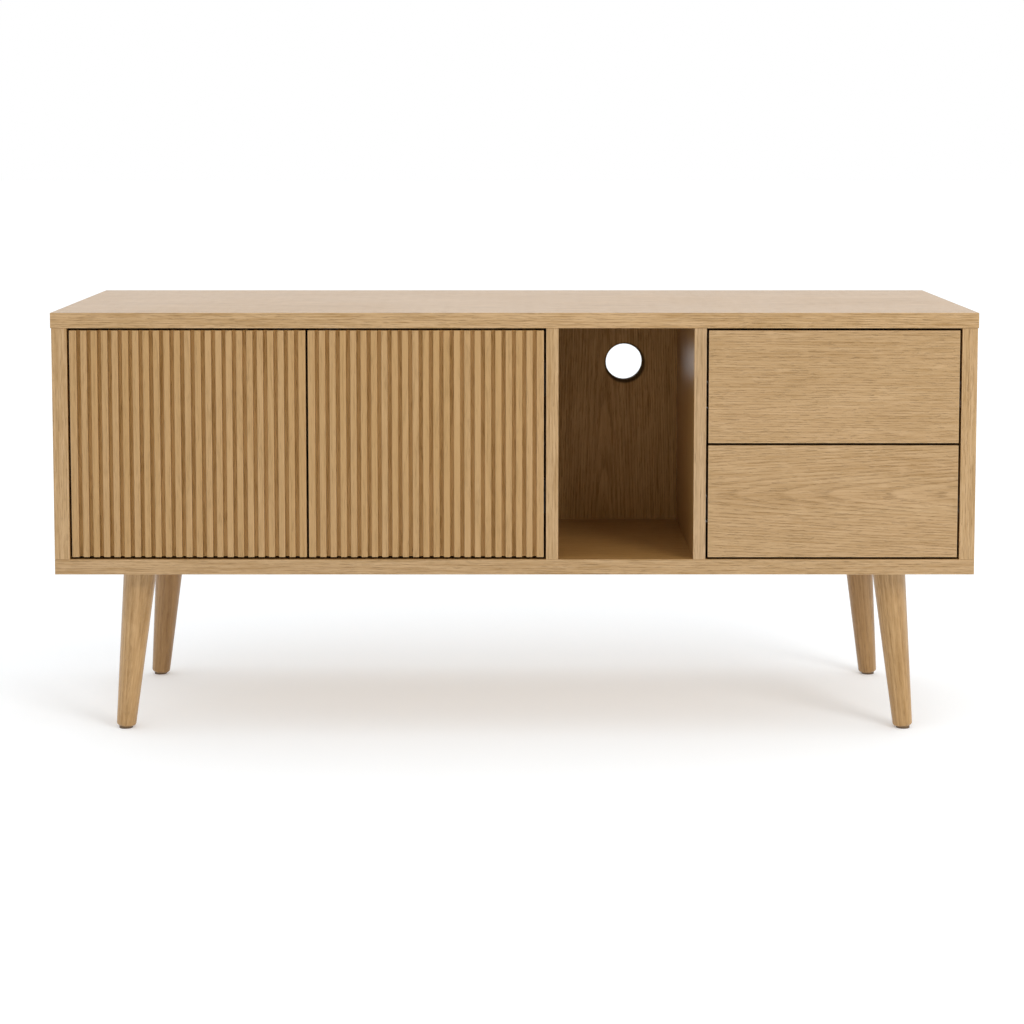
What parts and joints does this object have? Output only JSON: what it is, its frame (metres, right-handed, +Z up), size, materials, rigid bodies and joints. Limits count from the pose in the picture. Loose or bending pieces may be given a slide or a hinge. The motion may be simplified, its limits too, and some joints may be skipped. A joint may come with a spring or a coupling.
{
  "type": "media cabinet",
  "caption": "Low oak media cabinet with slatted doors, an open niche with a cable hole, handleless drawers and splayed tapered legs.",
  "frame": {"origin": "on the floor under the middle of the cabinet", "axes": "+X to the viewer's right, the front faces -Y, +Z up"},
  "size_m": [1.202, 0.402, 0.56],
  "materials": {
    "oak_top": "satin",
    "oak_case": "satin",
    "oak_inner": "satin",
    "oak_back": "matt",
    "zinc_fittings": "zinc plated",
    "fasteners": "zinc plated",
    "beech_dowels": "raw",
    "oak_legs": "satin",
    "glides": "matt",
    "hinge_steel": "nickel plated",
    "latches": "matt",
    "slide_steel": "zinc plated",
    "oak_doors": "satin",
    "oak_slats": "satin",
    "plungers": "matt",
    "oak_fronts": "satin",
    "drawer_boxes": "satin"
  },
  "bodies": {
    "carcass": {"top_panel": "oak_top", "bottom_panel": "oak_case", "side_panel_left": "oak_case", "side_panel_right": "oak_case", "divider_left": "oak_inner", "divider_right": "oak_inner", "back_panel": "oak_back", "cam_discs": "zinc_fittings", "cam_bolts": "fasteners", "wood_dowels": "beech_dowels", "back_screws": "fasteners", "shelf": "oak_inner", "shelf_pins": "fasteners", "leg_front_left": "oak_legs", "leg_front_right": "oak_legs", "leg_rear_left": "oak_legs", "leg_rear_right": "oak_legs", "leg_plates": "zinc_fittings", "leg_bolts": "fasteners", "leg_plate_screws": "fasteners", "foot_glides": "glides", "hinge_arms": "hinge_steel", "hinge_plates": "zinc_fittings", "hinge_plate_screws": "fasteners", "latch_housings": "latches", "latch_screws": "fasteners", "slide_rails_upper": "slide_steel", "slide_rails_lower": "slide_steel", "slide_screws": "fasteners"},
    "door_left": {"door_left_panel": "oak_doors", "door_left_slats": "oak_slats", "door_left_hinge_cups": "hinge_steel", "door_left_cup_screws": "fasteners", "door_left_strike": "fasteners"},
    "door_left_latch_plunger": {"door_left_plunger": "plungers"},
    "door_right": {"door_right_panel": "oak_doors", "door_right_slats": "oak_slats", "door_right_hinge_cups": "hinge_steel", "door_right_cup_screws": "fasteners", "door_right_strike": "fasteners"},
    "door_right_latch_plunger": {"door_right_plunger": "plungers"},
    "drawer_upper": {"drawer_upper_front": "oak_fronts", "drawer_upper_side_left": "drawer_boxes", "drawer_upper_side_right": "drawer_boxes", "drawer_upper_back": "drawer_boxes", "drawer_upper_bottom": "drawer_boxes", "drawer_upper_fasteners": "fasteners", "drawer_upper_rails": "slide_steel"},
    "drawer_upper_middle_rails": {"drawer_upper_middle_rails": "slide_steel"},
    "drawer_upper_latch_plunger": {"drawer_upper_plunger": "plungers"},
    "drawer_lower": {"drawer_lower_front": "oak_fronts", "drawer_lower_side_left": "drawer_boxes", "drawer_lower_side_right": "drawer_boxes", "drawer_lower_back": "drawer_boxes", "drawer_lower_bottom": "drawer_boxes", "drawer_lower_fasteners": "fasteners", "drawer_lower_rails": "slide_steel"},
    "drawer_lower_middle_rails": {"drawer_lower_middle_rails": "slide_steel"},
    "drawer_lower_latch_plunger": {"drawer_lower_plunger": "plungers"}
  },
  "joints": [
    {"name": "door_left_hinge", "type": "hinge", "parent": "carcass", "child": "door_left", "pos_m": [-0.577, -0.2, 0.3885], "axis": [0, 0, -1], "range_deg": [0, 95]},
    {"name": "door_left_latch_push", "type": "slide", "parent": "carcass", "child": "door_left_latch_plunger", "axis": [0, -1, 0], "range_m": [0, 0.014]},
    {"name": "door_right_hinge", "type": "hinge", "parent": "carcass", "child": "door_right", "pos_m": [0.038, -0.2, 0.3885], "axis": [0, 0, 1], "range_deg": [0, 95]},
    {"name": "door_right_latch_push", "type": "slide", "parent": "carcass", "child": "door_right_latch_plunger", "axis": [0, -1, 0], "range_m": [0, 0.014]},
    {"name": "drawer_upper_slide", "type": "slide", "parent": "carcass", "child": "drawer_upper", "axis": [0, -1, 0], "range_m": [0, 0.25]},
    {"name": "drawer_upper_middle_slide", "type": "slide", "parent": "carcass", "child": "drawer_upper_middle_rails", "axis": [0, -1, 0], "range_m": [0, 0.125]},
    {"name": "drawer_upper_latch_push", "type": "slide", "parent": "carcass", "child": "drawer_upper_latch_plunger", "axis": [0, -1, 0], "range_m": [0, 0.014]},
    {"name": "drawer_lower_slide", "type": "slide", "parent": "carcass", "child": "drawer_lower", "axis": [0, -1, 0], "range_m": [0, 0.25]},
    {"name": "drawer_lower_middle_slide", "type": "slide", "parent": "carcass", "child": "drawer_lower_middle_rails", "axis": [0, -1, 0], "range_m": [0, 0.125]},
    {"name": "drawer_lower_latch_push", "type": "slide", "parent": "carcass", "child": "drawer_lower_latch_plunger", "axis": [0, -1, 0], "range_m": [0, 0.014]}
  ],
  "couplings": [
    {"joint": "door_left_latch_push", "follows": "door_left_hinge", "m_per_rad": 0.0084},
    {"joint": "door_right_latch_push", "follows": "door_right_hinge", "m_per_rad": 0.0084},
    {"joint": "drawer_upper_middle_slide", "follows": "drawer_upper_slide", "ratio": 0.5},
    {"joint": "drawer_upper_latch_push", "follows": "drawer_upper_slide", "ratio": 0.056},
    {"joint": "drawer_lower_middle_slide", "follows": "drawer_lower_slide", "ratio": 0.5},
    {"joint": "drawer_lower_latch_push", "follows": "drawer_lower_slide", "ratio": 0.056}
  ]
}
